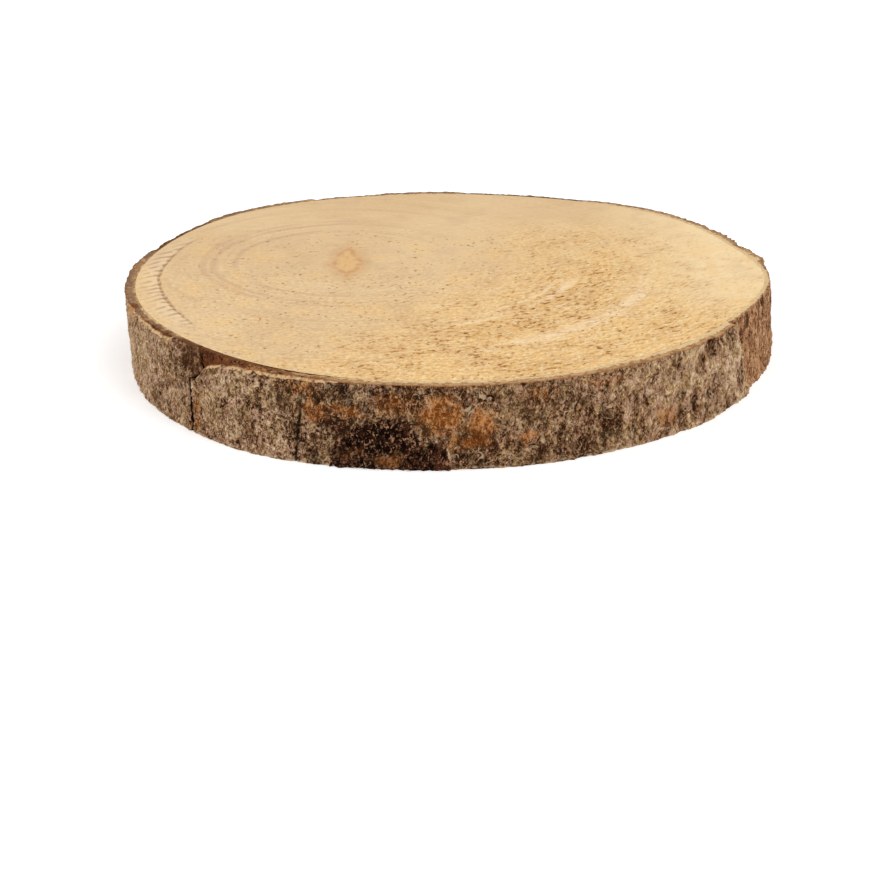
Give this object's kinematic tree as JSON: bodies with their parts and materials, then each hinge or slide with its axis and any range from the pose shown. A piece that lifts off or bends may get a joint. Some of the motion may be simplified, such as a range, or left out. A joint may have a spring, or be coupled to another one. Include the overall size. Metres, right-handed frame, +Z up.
{
  "type": "wood slice",
  "caption": "Round sawn slice of tree trunk lying flat, a pale wood disc with rough bark round its rim, for display or as a base.",
  "frame": {"origin": "middle of the slice's outline, on its underside, where it rests", "axes": "+Z up along the trunk, through the cut faces; -Y is the front, with the split in the bark at its left; +X to the right"},
  "size_m": [0.253, 0.254, 0.0315],
  "materials": {
    "wood": "rough sawn, unfinished",
    "bark": "natural rough bark"
  },
  "bodies": {
    "root": {"wood_disc": "wood", "bark": "bark"}
  },
  "joints": []
}
